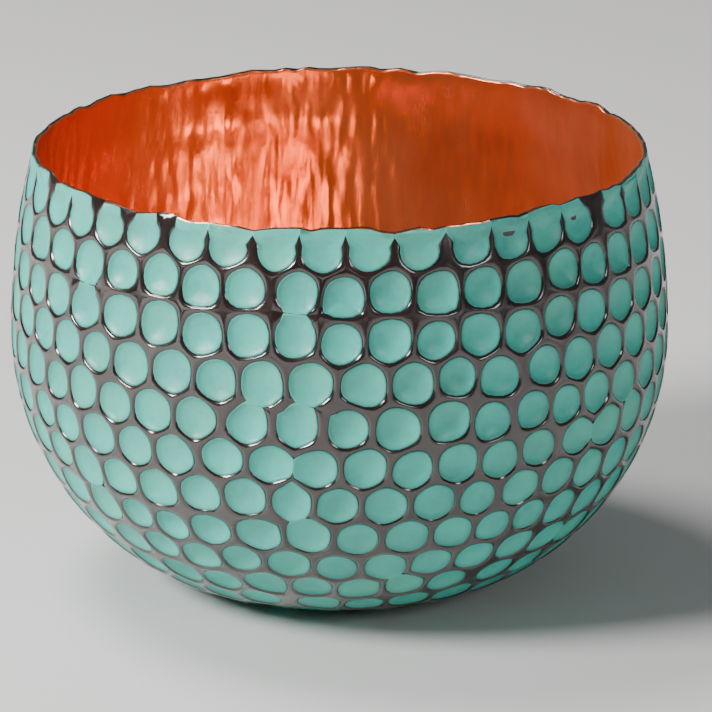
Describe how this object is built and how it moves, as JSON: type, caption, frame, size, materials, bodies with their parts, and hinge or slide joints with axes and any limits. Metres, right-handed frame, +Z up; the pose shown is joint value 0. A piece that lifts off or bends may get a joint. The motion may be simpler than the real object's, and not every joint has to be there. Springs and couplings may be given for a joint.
{
  "type": "hammered bowl",
  "caption": "Round-bellied sheet copper bowl with a small flat foot and slightly closed mouth; hammered hollows enamelled turquoise between dark ridges, bright copper inside",
  "frame": {"origin": "Centre of the flat foot, on the surface it rests on", "axes": "+Z up through the mouth; X and Y level, the bowl is round about Z, and -Y is the side the viewer sees"},
  "size_m": [0.1299, 0.13, 0.088],
  "materials": {
    "copper": "bright polished copper inside, bare cut edge at the rim",
    "dark_lacquer": "glossy near-black brown lacquer",
    "turquoise_enamel": "satin turquoise enamel"
  },
  "bodies": {
    "root": {"copper_shell": "copper", "ground_coat": "dark_lacquer", "rim_band": "turquoise_enamel", "enamel_course_02": "turquoise_enamel", "enamel_course_03": "turquoise_enamel", "enamel_course_04": "turquoise_enamel", "enamel_course_05": "turquoise_enamel", "enamel_course_06": "turquoise_enamel", "enamel_course_07": "turquoise_enamel", "enamel_course_08": "turquoise_enamel", "enamel_course_09": "turquoise_enamel", "enamel_course_10": "turquoise_enamel", "enamel_course_11": "turquoise_enamel", "enamel_course_12": "turquoise_enamel", "enamel_course_13": "turquoise_enamel"}
  },
  "joints": []
}
